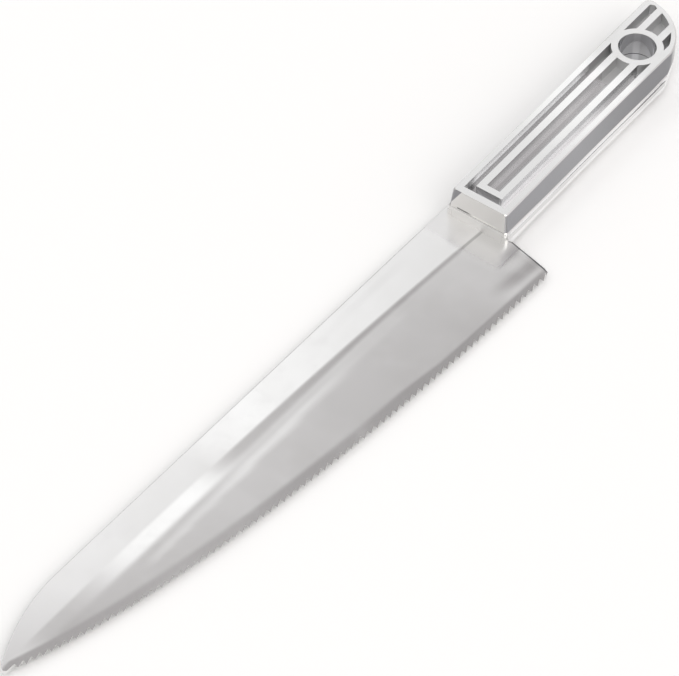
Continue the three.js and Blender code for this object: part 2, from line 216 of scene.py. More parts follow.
class KnifeStudio(bpy.types.PropertyGroup):
    """Camera, floor and light."""
    aim: bpy.props.FloatVectorProperty(
        name="Aim", description="Point that the camera looks at", default=(-0.06992, 0.01613, -0.01832),
        size=3, precision=5, subtype="TRANSLATION", unit="LENGTH",
    )
    azimuth: angle("Azimuth", "Camera's bearing", -57.881)
    elevation: angle("Elevation", "Camera's height above the horizon", 45.908)
    roll: angle("Roll", "Camera's roll", 4.298)
    distance: length("Distance", "Camera to aim", 1.7)
    focal: bpy.props.FloatProperty(name="Focal length", description="Lens in millimetres", default=350.26)
    high_light: tint("High light", "Colour of the light from above", (1.0, 1.0, 1.0))
    low_light: tint("Low light", "Colour of the dimmer light beside it", (1.0, 0.966, 0.968))
    left_light: tint("Left light", "Colour of the low light from the tip's side", (1.0, 0.982, 0.945))
    floor_size: length("Floor", "Side of the floor", 12.0)
    floor_tint: tint("Floor colour", "Colour of the pale floor", (0.93, 0.93, 0.93))


# The upper face's slopes towards the teeth in degrees and the widths of its zones in millimetres,
# each at distances from the handle in millimetres.
FLAT_SLOPE = (
    (0, 0.5), (20, 0.6), (40, 0.46), (60, 0.3), (75, 0.16), (90, -0.05), (100, 0.3), (103, 0.45),
    (111, 1.05), (150, 1.05), (165, 1.2), (178, 1.75), (192, 2.3),
)
CREASE_WIDTH = ((0, 0.25), (60, 0.5), (110, 0.6), (194, 1.0))
HOLLOW_WIDTH = ((0, 0.9), (50, 1.5), (95, 3.0), (110, 3.2))
CROWN_SLOPE = ((110, -0.3), (138, -0.3), (150, 0.7), (160, 1.8), (170, 2.5), (178, 2.8), (186, 2.1))
CROWN_WIDTH = ((110, 3.0), (145, 3.3), (165, 3.2), (190, 2.0))
BELLY_SLOPE = ((110, 2.1), (125, 2.1), (150, 2.25), (165, 2.7), (176, 3.35), (185, 2.2), (194, 2.0))
BEVEL_WIDTH = ((0, 1.2), (45, 1.5), (60, 2.6), (150, 2.6), (178, 2.2), (194, 1.5))
BEVEL_SLOPE = (
    (0, 3.9), (15, 4.8), (30, 6.0), (40, 4.9), (55, 5.4), (75, 3.8), (100, 4.4), (120, 3.5), (145, 3.4),
    (165, 4.6), (177, 4.9), (194, 5.4),
)

# Soft light panels above the knife: bearing, full and faded half width in degrees, and strength.
PANELS = (
    ((-0.4, -0.5, 0.77), 14, 42, 1.15),
    ((0.0, 0.0, 1.0), 10, 45, 0.25),
)


class Wire:
    """A socket that arithmetic extends with Math nodes."""

    def __init__(self, tree, socket):
        self.tree = tree
        self.socket = socket

    def math(self, operation, *values):
        return self.tree.add("ShaderNodeMath", {"operation": operation}, dict(enumerate(values)))

    def __add__(self, other):
        return self.math("ADD", self, other)

    def __radd__(self, other):
        return self.math("ADD", other, self)

    def __sub__(self, other):
        return self.math("SUBTRACT", self, other)

    def __rsub__(self, other):
        return self.math("SUBTRACT", other, self)

    def __mul__(self, other):
        return self.math("MULTIPLY", self, other)

    def __rmul__(self, other):
        return self.math("MULTIPLY", other, self)

    def ramp(self, low, high):
        """0 below low, 1 above high, straight between them."""
        return self.tree.add("ShaderNodeMapRange", None, {"Value": self, "From Min": low, "From Max": high})

    def between(self, low, high):
        """0 below low, 1 above high, eased between them."""
        return self.tree.add(
            "ShaderNodeMapRange", {"interpolation_type": "SMOOTHSTEP"},
            {"Value": self, "From Min": low, "From Max": high},
        )

    def until(self, low, high):
        """1 below low, 0 above high, eased between them."""
        return 1 - self.between(low, high)


class Tree:
    """A material's or world's nodes."""

    def __init__(self, owner):
        owner.use_nodes = True
        self.nodes = owner.node_tree.nodes
        self.links = owner.node_tree.links
        self.nodes.clear()

    def add(self, kind, settings=None, inputs=None, output=0):
        """Adds a node, sets it, then fills its inputs with numbers, colours or wires."""
        node = self.nodes.new(kind)
        for key, value in (settings or {}).items():
            setattr(node, key, value)
        for key, value in (inputs or {}).items():
            if isinstance(value, Wire):
                self.links.new(value.socket, node.inputs[key])
            else:
                node.inputs[key].default_value = value
        return Wire(self, node.outputs[output]) if len(node.outputs) else node


def rgba(colour):
    return (*colour, 1.0)


def part_of(tree, vector, axis):
    """A vector's share along an axis."""
    settings = {"operation": "DOT_PRODUCT"}
    return tree.add("ShaderNodeVectorMath", settings, {0: vector, 1: axis}, output="Value")


def steepness(tree):
    """0 on level faces, 1 on upright ones."""
    up = part_of(tree, tree.add("ShaderNodeTexCoord", output="Normal"), AXES[2])
    return 1 - up.math("ABSOLUTE", up)


def blend(tree, part, first, second, kind="MIX"):
    """Two colours, the second one in by a share."""
    settings = {"data_type": "RGBA", "blend_type": kind}
    return tree.add("ShaderNodeMix", settings, {0: part, 6: first, 7: second}, output=2)


def scaled(tree, colour, amount):
    """A colour times a number."""
    return blend(tree, 1.0, colour, amount, "MULTIPLY")


def noise(tree, place, scale, detail, roughness=0.5):
    inputs = {"Vector": place, "Scale": scale, "Detail": detail, "Roughness": roughness}
    return tree.add("ShaderNodeTexNoise", None, inputs)


def from_heel_back(blade, ahead, y):
    """Distance along the blade from the heel's slanted back edge, for numbers and for wires."""
    return ahead + blade.root_lap + HEEL_LEAN * (y + blade.heel_top)


# The next four functions paint shade, highlights and reflections into the full coat, by place in metres, and
# give its colour and added roughness.
def handle_painted_shade(tree, place, full, finish):
    """Coat of the glossy handle, with painted light: painted shade on upright sides, painted highlights on
    the rims, a painted reflection gradient along the top, painted shade deeper in the hole and a painted
    highlight streak on its wall.
    """
    handle = bpy.context.scene.knife_handle
    x, y, z = (part_of(tree, place, axis) for axis in AXES)
    # Painted reflection: the top's tone rises behind the front and falls again at the butt.
    grip = x.between(-0.012, 0.012)
    butt = x.between(0.024, 0.036)
    top = scaled(tree, full, 0.89 + 0.13 * grip - 0.2 * butt)
    # Painted shade: the upright outer sides take a dark tone, darker still towards the butt.
    rear = x.between(-0.004, 0.03)
    side = scaled(tree, rgba(finish.painted_shade_tone), 1 - 0.26 * rear)
    # Painted highlight: the rims below the shoulder take a brighter tone than the full coat, except near the
    # front.
    rim = blend(tree, x.between(FRONT + 0.0008, FRONT + 0.003), full, rgba(finish.painted_rim_highlight))
    shoulder = FLAT + handle.flange_height
    side = blend(tree, z.between(shoulder - 0.0001, shoulder + 0.0001), rim, side)
    # Painted shade and highlight in the hanging hole: its wall darkens with depth, and a bright streak runs
    # down one side.
    radius = handle.hole_radius
    from_hole = x - (SHELL_BOX[1][0] - handle.hole_from_butt)
    reach = from_hole * from_hole + y * y
    reach = reach.math("SQRT", reach)
    shiny_side = 0.847 * from_hole + 0.532 * y
    bore_highlight = shiny_side.between(radius - 0.00015, radius - 0.00003)
    depth = (TOP - z).between(0.001, 0.01)
    bore = scaled(tree, rgba(finish.painted_bore_tone), 0.88 - 0.16 * depth + bore_highlight * (0.12 + 0.16 * depth))
    wall = blend(tree, reach.between(radius + 0.0003, radius + 0.0007), bore, side)
    return blend(tree, steepness(tree).between(0.5, 0.9), top, wall), 0.0


def front_painted_shade(tree, place, full, finish):
    """Coat of the front: a painted dark reflection at its upper corner beside the spine, and a painted line
    across it, a highlight near the teeth and shade towards the spine.
    """
    y, z = (part_of(tree, place, axis) for axis in AXES[1:])
    height = FLAT + bpy.context.scene.knife_handle.line_height
    core, soft = 0.0001, 0.0003
    # Painted shade and highlight: a line across the front, bright towards the teeth and dark towards the
    # spine.
    line = z.between(height - soft, height - core) * z.until(height + core, height + soft)
    line = line * y.until(0.0061, 0.0066) * y.between(-0.0068, -0.005)
    mark = blend(tree, y.between(0.001, 0.0035), rgba(finish.painted_highlight_line), rgba(finish.painted_dark_line))
    colour = blend(tree, line, full, mark)
    # Painted reflection: a dark tone on the front's upper corner beside the spine.
    corner = (y + 0.56 * z).between(0.0123, 0.0126)
    return blend(tree, corner, colour, rgba(finish.painted_shade_tone)), 0.0


def blade_painted_shade_and_haze(tree, place, full, finish):
    """Coat of the blade: a painted dark reflection along the heel's back edge, a painted lighter flat and a
    rougher coat beside the handle, painted shade in the crease.
    """
    blade = bpy.context.scene.knife_blade
    x, y, z = (part_of(tree, place, axis) for axis in AXES)
    ahead = FRONT - x
    beside = ahead.until(0.0055, 0.011) * y.between(-0.0135, -0.0115)
    over_crease = y + blade.crease_drop - CREASE_CLIMB * ahead
    # Painted light: the flat above the crease beside the handle takes a lighter tone, and the coat there is
    # also rougher.
    flat = beside * over_crease.between(-0.0001, 0.0004)
    colour = blend(tree, flat, full, rgba(finish.painted_root_light))
    # Painted shade: darker along the crease and at its foot beside the handle.
    crease = over_crease.between(-0.001, -0.0006) * over_crease.until(-0.0002, 0.0001)
    crease = crease * ahead.until(0.0075, 0.0095)
    foot = over_crease.until(-0.0006, -0.0002) * ahead.until(0.0015, 0.0045)
    foot = foot * y.between(-0.0145, -0.0125)
    colour = scaled(tree, colour, 1 - 0.3 * crease - 0.08 * foot)
    # Painted reflection: a dark line along the heel's rounded back edge.
    edge = from_heel_back(blade, ahead, y).until(0.00045, 0.00065) * y.until(-0.0098, -0.0093)
    edge = edge * z.between(BACK + 0.0002, BACK + 0.0003)
    return blend(tree, edge, colour, rgba(finish.painted_dark_line)), finish.root_haze * beside


def channel_painted_shade_and_haze(tree, place, full, finish):
    """Coat in the channels, with painted light: painted shade on walls and in the depths, painted highlights
    along fillets, painted shade and a rougher coat at the ends.
    """
    x, y, z = (part_of(tree, place, axis) for axis in AXES)
    depth = TOP - z
    steep = steepness(tree)
    wall = steep.between(0.6, 0.95)
    fillet = steep.between(0.06, 0.25) * steep.until(0.7, 0.95)
    spine_side = y.between(0.0031, 0.0034)
    teeth_side = (-1 * y).between(0.0031, 0.0034)
    grip = x.between(-0.012, 0.006)
    rear = x.between(0.012, 0.026)
    corner = x.until(-0.0272, -0.025)
    # Painted shade and highlights: floor tones by place, darker walls and brighter fillets.
    floor = 0.7 + 0.15 * grip
    floor = floor * (0.72 + 0.28 * y.between(0.0002, 0.0006))
    floor = floor + 0.16 * y.between(0.0012, 0.0015) * x.until(0.018, 0.026)
    middle = floor + wall * (0.53 - floor) + 0.3 * fillet
    # Painted shade by depth: darker deep in the spine lane, lighter deep in the teeth lane, darker at the
    # spine lane's front corner.
    spine_lane = 1 - depth.between(0.0019, 0.0024) * (0.15 + 0.42 * wall)
    teeth_lane = (0.78 + 0.2 * depth.between(0.0017, 0.0022)) * (1 - 0.24 * rear)
    tone = middle + spine_side * (spine_lane - middle)
    tone = tone + teeth_side * (teeth_lane - tone)
    tone = tone * (1 - 0.5 * corner * spine_side)
    lane_end = x - 0.0075 * teeth_side
    lengthwise = x.between(-0.0293, -0.0288) * lane_end.until(0.0262, 0.0275)
    # Painted shade at the ends beyond the lanes, where the coat is also rougher.
    ends = 0.95 - 0.22 * x.between(0.0, 0.01)
    return scaled(tree, full, ends + lengthwise * (tone - ends)), finish.window_haze * (1 - lengthwise)


def silver_coat(name, finish, tone, cloud, gloss, ripple, shade_painter):
    """Metal coat on moulded plastic, with faint clouds, rubbed haze, a slow ripple and its own painted
    shade, highlights and reflections.
    """
    material = bpy.data.materials.new(name)
    tree = Tree(material)
    place = tree.add("ShaderNodeTexCoord", output="Object")
    clouds = noise(tree, place, 55.0, 3.0, 0.55)
    smears = noise(tree, place, 160.0, 5.0, 0.65)
    grain = noise(tree, place, 2600.0, 2.0)
    swell = noise(tree, place, 90.0, 1.0)
    colour = blend(tree, clouds.between(0.35, 0.75), rgba(tone), rgba(cloud))
    colour, haze = shade_painter(tree, place, colour, finish)
    rough = gloss + haze + finish.rub * smears.between(0.45, 0.8) * (0.4 + 0.6 * grain)
    height = swell + 0.06 * grain
    bump = tree.add("ShaderNodeBump", None, {"Strength": 1.0, "Distance": ripple, "Height": height})
    shader = tree.add(
        "ShaderNodeBsdfPrincipled", None,
        {"Base Color": colour, "Metallic": 1.0, "Roughness": rough, "Normal": bump},
    )
    tree.add("ShaderNodeOutputMaterial", None, {"Surface": shader})
    return material


def start_clean():
    """Object mode with nothing selected."""
    if bpy.context.object and bpy.context.object.mode != "OBJECT":
        bpy.ops.object.mode_set(mode="OBJECT")
    bpy.ops.object.select_all(action="DESELECT")


def edit(select="SELECT"):
    bpy.ops.object.mode_set(mode="EDIT")
    bpy.ops.mesh.select_all(action=select)


def leave_edit():
    bpy.ops.object.mode_set(mode="OBJECT")


def dress(piece, node, *materials):
    """Puts the coats on a finished piece and lets it stand for its node."""
    piece.data.materials.clear()
    for material in materials:
        piece.data.materials.append(material)
    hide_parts(node)
    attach(piece, "root")


def eased(low, high, value):
    """0 below low, 1 above high, eased between them."""
    t = min(1.0, max(0.0, (value - low) / (high - low)))
    return t * t * (3 - 2 * t)


def hump(value, middle, width):
    """1 at the middle, fading to both sides."""
    return math.exp(-((value - middle) / width) ** 2)


def along(table, u):
    """Value of a table of places and values, straight between its entries."""
    for (a, low), (b, high) in zip(table, table[1:]):
        if u <= b:
            return low + (high - low) * min(1.0, max(0.0, (u - a) / (b - a)))
    return table[-1][1]


def bezier(start, middle, end, t):
    return start * (1 - t) ** 2 + middle * (2 * t * (1 - t)) + end * t ** 2


class BladeShape:
    """The blade's curves and its ground upper face, in the blade's own place."""

    def __init__(self, sizes):
        self.s = sizes
        s = sizes
        self.edge = (
            Vector((-s.heel_setback, -s.heel_drop)),
            Vector((-s.belly_reach, -s.belly_drop)),
            Vector((s.tip_plain - s.reach, s.tip_height - s.tip_blunt)),
        )
        self.crease = (
            Vector((0, -s.crease_drop)),
            Vector((-s.reach / 2, s.crease_crown)),
            Vector((-s.reach, s.tip_height)),
        )
        steps = 600
        self.edge_points = [bezier(*self.edge, i / steps) for i in range(steps + 1)]
        self.run = [0.0]
        for a, b in zip(self.edge_points, self.edge_points[1:]):
            self.run.append(self.run[-1] + (b - a).length)

    def edge_at(self, distance):
        """Point of the tooth-root curve at a distance from the heel."""
        for k in range(1, len(self.run)):
            if self.run[k] >= distance:
                part = (distance - self.run[k - 1]) / (self.run[k] - self.run[k - 1])
                return self.edge_points[k - 1].lerp(self.edge_points[k], part)
        return self.edge_points[-1].copy()

    def edge_height(self, x):
        """Height of the tooth-root curve at x."""
        first, middle, last = self.edge
        if x >= first.x:
            return first.y
        if x <= last.x:
            return last.y
        a = first.x - 2 * middle.x + last.x
        b = 2 * (middle.x - first.x)
        c = first.x - x
        t = (-b - math.sqrt(b * b - 4 * a * c)) / (2 * a)
        return bezier(*self.edge, t).y

    def crease_height(self, x):
        t = min(1.0, max(0.0, -x / self.s.reach))
        return bezier(*self.crease, t).y

    def spine_height(self, x):
        s = self.s
        straight = s.tip_curve - s.reach
        slope = s.spine_rise / straight
        if x >= straight:
            return s.spine_height + slope * x
        start = Vector((straight, s.spine_height + s.spine_rise))
        knee = Vector((straight - s.tip_fullness, s.spine_height + slope * (straight - s.tip_fullness)))
        end = Vector((-s.reach, s.tip_height))
        a = start.x - 2 * knee.x + end.x
        b = 2 * (knee.x - start.x)
        c = start.x - x
        t = c / -b if abs(a) < 1e-9 else (-b - math.sqrt(max(0.0, b * b - 4 * a * c))) / (2 * a)
        curve = bezier(start, knee, end, min(1.0, max(0.0, t))).y
        brow = max(0.0, 1 - (x + s.reach) / (BROW_LENGTH * s.tip_blunt))
        return min(start.y, curve) - BROW_DROP * s.tip_blunt * brow ** 2

    def slope(self, x, y):
        """Slope of the upper face towards the teeth at a place, in degrees."""
        # Millimetres from the handle towards the tip, and from the middle line towards the spine.
        u, v = -x * 1000, y * 1000
        below = self.crease_height(x) * 1000 - v
        above_teeth = v - self.edge_height(x) * 1000
        soft = along(CREASE_WIDTH, u)
        part = eased(-0.4 * soft, 0.6 * soft, below)
        face = self.flat_slope(u, v) * (1 - part) + self.ground_slope(u, v, below) * part
        width = along(BEVEL_WIDTH, u)
        part = 1 - eased(width * 0.45, width * 1.1, above_teeth)
        face = face * (1 - part) + max(along(BEVEL_SLOPE, u), face) * part
        return face + self.heel_slope(u, v, 1000 * from_heel_back(self.s, -x, y))

    def flat_slope(self, u, v):
        """Slope above the crease, with a faint line beside the spine."""
        line = hump(v, 8.4, 0.45) * eased(16, 26, u) * (1 - eased(52, 64, u))
        return along(FLAT_SLOPE, u) + 0.55 * line

    def ground_slope(self, u, v, below):
        """Slope below the crease: a hollow with a flatter belt and stripe, round towards the tip."""
        width = along(HOLLOW_WIDTH, u)
        deep = 0.95 + 0.5 * (1 - eased(50, 75, u)) + 0.4 * (1 - eased(24, 40, u)) - 0.6 * eased(62, 112, u)
        base = 2.28 - 0.28 * eased(70, 104, u) - 0.55 * (1 - eased(14, 34, u))
        hollow = base + deep * (1 - eased(width * 0.55, width * 1.25, below))
        belt = 0.45 * eased(20, 60, u) * eased(width * 0.8, width * 1.2, below) * (1 - eased(3.0, 3.6, -v))
        stripe = 0.6 * eased(56, 80, u) * (1 - eased(140, 148, u))
        stripe *= eased(0.9, 1.5, -v) * (1 - eased(3.2, 3.5, -v))
        crown = along(CROWN_SLOPE, u)
        reach = along(CROWN_WIDTH, u)
        round_face = crown + (along(BELLY_SLOPE, u) - crown) * eased(reach, reach + 2.2, below)
        toward_tip = eased(99, 122, u)
        return (hollow - belt) * (1 - toward_tip) + round_face * toward_tip - stripe

    def heel_slope(self, u, v, from_back):
        """What two soft waves and the light line along the back edge add at the heel."""
        upper = hump(v, -11.6, 1.2) * (1 - eased(1, 8, u))
        lower = hump(v, -17.6 + 0.12 * (u - 8), 1.4) * (1 - eased(6, 19, u))
        line = hump(from_back, 1.35, 0.45) * eased(9.5, 11.5, -v)
        return 1.3 * upper + 2.6 * lower - line

    def columns(self):
        """Spine point, foot of the ground face and rim point of each column, from tip to root."""
        s = self.s
        total = self.run[-1]
        count = int(total * 2 / (s.pitch_heel + s.pitch_tip))
        finer = (s.pitch_tip - s.pitch_heel) / (2 * count)
        roots = [self.edge_at(i * (s.pitch_heel + finer * i)) for i in range(count + 1)]
        last = roots[count]
        nose = Vector((-s.reach, s.tip_height - (1 - CHIN_RISE) * s.tip_blunt))
        chin = Vector((-s.reach + CHIN_LENGTH * s.tip_blunt, s.tip_height - s.tip_blunt))
        rims = [nose, chin, chin.lerp(last, 0.35), chin.lerp(last, 0.7)]
        feet = [rim.copy() for rim in rims]
        for i in range(count, 0, -1):
            root = roots[i]
            heading = (roots[i - 1] - root).normalized()
            outward = Vector((heading.y, -heading.x))
            depth = s.tooth_depth + s.tooth_growth * min(1.0, (i - 1) / 6)
            point = root + heading * s.tooth_undercut + outward * depth
            gullet = root + outward * s.gullet_round
            rims += [gullet, root.lerp(point, 0.15), point]
            rims += [point.lerp(roots[i - 1], part) for part in (0.3, 0.6, 0.86)]
            feet += [root.lerp(roots[i - 1], part) for part in (0.0, 0.08, 0.16, 0.4, 0.64, 0.88)]
        corner = Vector((-s.heel_setback + s.heel_corner, -s.heel_drop - s.heel_corner / 2))
        top = Vector((s.root_lap, -s.heel_top))
        up = (top - corner).normalized()
        before = corner - Vector((s.heel_corner, 0))
        after = corner + up * s.heel_corner
        rims += [roots[0], before]
        feet += [roots[0], roots[0].lerp(corner, 0.3)]
        plain = len(rims) + 1
        for part in (0.25, 0.5, 0.75, 1.0):
            rims.append(bezier(before, corner, after, part))
            feet.append(roots[0].lerp(after + up * s.tooth_depth, part))
        lower = feet[-1]
        for part in (0.2, 0.4, 0.6, 0.8, 1.0):
            rims.append(after.lerp(top, part))
            feet.append(lower.lerp(top + Vector((0, s.tooth_depth / 2)), part))
        spans = [0.0]
        for a, b in zip(feet, feet[1:]):
            spans.append(spans[-1] + max((b - a).length, 1e-6))
        columns = []
        upright = 0.85
        for i, (rim, foot, span) in enumerate(zip(rims, feet, spans)):
            x = -s.reach + (s.reach + s.root_lap) * span / spans[-1]
            x = x + (foot.x - x) * upright
            columns.append((Vector((x, self.spine_height(x))), foot, rim, i >= plain))
        return columns

    def column_points(self, spine, foot, rim, rounded):
        """Points of one column from the spine's edge to the rim, rounded along the heel's back edge."""
        s = self.s
        height = spine.y - foot.y
        middle = (spine.x + foot.x) / 2
        edge = min(s.spine_round, height * 0.1)
        levels = [spine.y - edge * part for part in (0.0, 0.06, 0.22, 0.5, 1.0, 1.3)]
        # The rows lie closer where the face bends: at the crease, in the hollow below it and at the bevel.
        crease = max(self.crease_height(middle) + 0.0005, foot.y + height * 0.3)
        crease = min(crease, levels[-1] - height * 0.05)
        belly = max(crease - 0.0058, foot.y + height * 0.2)
        bevel = min(max(foot.y + 0.003, foot.y + height * 0.08), belly - height * 0.05)
        for stop, steps in ((crease, 9), (belly, 14), (bevel, 12), (foot.y, 7)):
            start = levels[-1]
            levels += [start + (stop - start) * i / steps for i in range(1, steps + 1)]
        points = [spine.lerp(foot, (spine.y - level) / height) for level in levels]
        beside = max(0.5, 1 - s.heel_round / (rim - foot).length) if rounded else 0.5
        points += [foot.lerp(rim, beside), rim.copy()]
        drops = [0.0]
        for a, b in zip(points, points[1:]):
            middle = (a + b) / 2
            slope = math.radians(self.slope(middle.x, middle.y))
            drops.append(drops[-1] + math.tan(slope) * (a.y - b.y))
        if rounded:
            drops[-1] += s.heel_fall
        for i, level in enumerate(levels[:5]):
            inward = spine.y - level
            drops[i] += edge - math.sqrt(edge * edge - (edge - inward) ** 2)
        return [Vector((point.x, point.y, -drop)) for point, drop in zip(points, drops)]


class KNIFE_OT_blade(bpy.types.Operator):
    """Models the toothed blade as a fine ground face, pulls it to its thickness and draws out the tang"""
    bl_idname = "knife.blade"
    bl_label = "Blade"

    def execute(self, context):
        sizes = context.scene.knife_blade
        finish = context.scene.knife_finish
        shape = BladeShape(sizes)
        shift = Vector((BLADE_BOX[0][0] + sizes.reach, 0, FLAT))
        lines = [shape.column_points(*column) for column in shape.columns()]
        across = len(lines[0])
        start_clean()
        bpy.ops.mesh.primitive_grid_add(x_subdivisions=len(lines) - 1, y_subdivisions=across - 1, size=1)
        blade = context.object
        blade.name = "silver_blade"
        if len(blade.data.vertices) != len(lines) * across:
            raise RuntimeError("the blade's grid has another number of points than its columns and rows")
        for vertex in blade.data.vertices:
            column = round((vertex.co.x + 0.5) * (len(lines) - 1))
            row = round((0.5 - vertex.co.y) * (across - 1))
            vertex.co = lines[column][row] + shift
        edit()
        bpy.ops.mesh.extrude_region_move(TRANSFORM_OT_translate={"value": (0, 0, -sizes.thickness)})
        bpy.ops.transform.resize(value=(1, 1, 0), center_override=(0, 0, shift.z - sizes.thickness))
        leave_edit()
        self.thin_edge(blade, sizes, shift, lines)
        self.draw_tang(blade, sizes, shift)
        edit()
        bpy.ops.mesh.normals_make_consistent(inside=False)
        leave_edit()
        self.drill(context, blade, sizes, shift)
        bpy.ops.object.select_all(action="DESELECT")
        blade.select_set(True)
        context.view_layer.objects.active = blade
        bpy.ops.object.shade_smooth_by_angle(angle=sizes.smooth_angle)
        coat = silver_coat(
            "polished_silver", finish, finish.silver, finish.silver_cloud,
            finish.blade_gloss, finish.blade_ripple, blade_painted_shade_and_haze,
        )
        dress(blade, "blade", coat)
        return {"FINISHED"}

    def thin_edge(self, blade, sizes, shift, lines):
        """Raises the back at the teeth until a thin edge is left, and about half as much in the next row."""
        def spot(point):
            return round(point.x * 1e7), round(point.y * 1e7)

        rise = {}
        for points in lines:
            rim, beside = points[-1], points[-2]
            if rim.x < -sizes.heel_setback:
                lift = max(0.0, sizes.thickness + rim.z - sizes.edge_thickness)
                rise[spot(rim + shift)] = lift
                rise[spot(beside + shift)] = lift * 0.45
        back = shift.z - sizes.thickness
        for vertex in blade.data.vertices:
            if abs(vertex.co.z - back) < NEAR:
                vertex.co.z += rise.get(spot(vertex.co), 0.0)

    def draw_tang(self, blade, sizes, shift):
        root = shift.x + sizes.root_lap
        edit("DESELECT")
        bpy.ops.mesh.select_mode(type="FACE")
        leave_edit()
        for polygon in blade.data.polygons:
            polygon.select = (
                abs(polygon.center.x - root) < NEAR and abs(polygon.normal.x) > 0.9
                and abs(polygon.center.y) < sizes.tang_half
            )
        bpy.ops.object.mode_set(mode="EDIT")
        bpy.ops.mesh.extrude_region_move(
            TRANSFORM_OT_translate={"value": (sizes.tang_end - sizes.root_lap, 0, 0)}
        )
        taper = 1 - sizes.tang_taper / sizes.tang_half
        bpy.ops.transform.resize(value=(1, taper, 1), center_override=(0, 0, shift.z))
        leave_edit()

    def drill(self, context, blade, sizes, shift):
        for i in range(2):
            bpy.ops.object.select_all(action="DESELECT")
            bpy.ops.mesh.primitive_cylinder_add(
                vertices=24, radius=sizes.peg_hole, depth=sizes.thickness * 4,
                location=(shift.x + sizes.peg_first + i * sizes.peg_step, 0, shift.z),
            )
            cutter = context.object
            context.view_layer.objects.active = blade
            hole = blade.modifiers.new("peg_hole", "BOOLEAN")
            hole.object = cutter
            hole.operation = "DIFFERENCE"
            bpy.ops.object.modifier_apply(modifier=hole.name)
            bpy.data.objects.remove(cutter)


